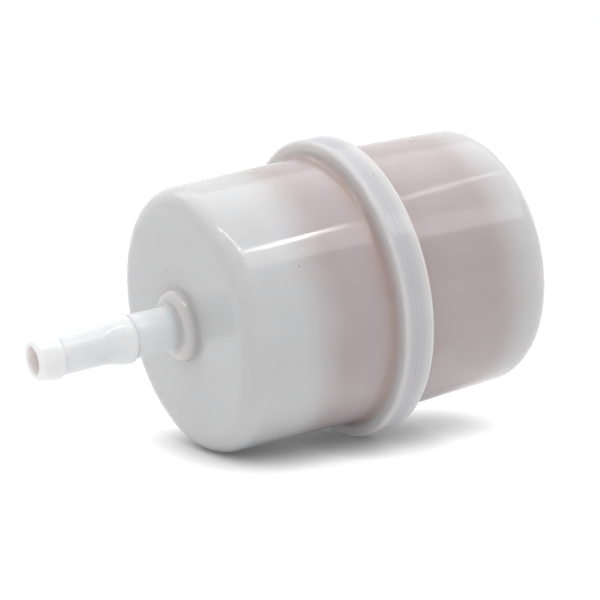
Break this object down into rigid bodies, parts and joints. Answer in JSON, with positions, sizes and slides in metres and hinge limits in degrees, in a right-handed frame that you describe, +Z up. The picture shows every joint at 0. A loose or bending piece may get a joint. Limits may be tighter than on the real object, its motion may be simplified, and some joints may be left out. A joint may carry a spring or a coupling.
{
  "type": "fuel filter",
  "caption": "In-line fuel filter: two welded translucent nylon cups with a middle flange, a barbed inlet spigot, an elbow outlet and a pleated paper element.",
  "frame": {"origin": "on the filter's axis, in the weld plane between the two cups, at the middle of the flange", "axes": "+X along the filter's axis towards the outlet cup, so the inlet spigot points to -X; +Y along the outlet elbow's arm; +Z up"},
  "size_m": [0.1059, 0.062, 0.056],
  "materials": {
    "nylon_inlet": "glossy, translucent milky white moulded polyamide",
    "nylon_outlet": "glossy, translucent milky white moulded polyamide",
    "nylon_elbow": "glossy, translucent milky white moulded polyamide",
    "nylon_weld": "melted polyamide, slightly yellowed",
    "nylon_cap": "satin natural polyamide",
    "potting": "cured adhesive, honey coloured, satin",
    "tube_plastic": "satin natural plastic",
    "filter_paper": "resin-treated pleated filter paper, dull pink",
    "seal_rubber": "nitrile rubber, satin black"
  },
  "bodies": {
    "root": {"inlet_housing": "nylon_inlet", "outlet_housing": "nylon_outlet", "outlet_elbow": "nylon_elbow", "weld_ring": "nylon_weld", "elbow_weld": "nylon_weld", "front_cap": "nylon_cap", "rear_cap": "nylon_cap", "front_potting": "potting", "rear_potting": "potting", "centre_tube": "tube_plastic", "pleated_paper": "filter_paper", "seam_bead": "potting", "neck_seal": "seal_rubber"}
  },
  "joints": []
}
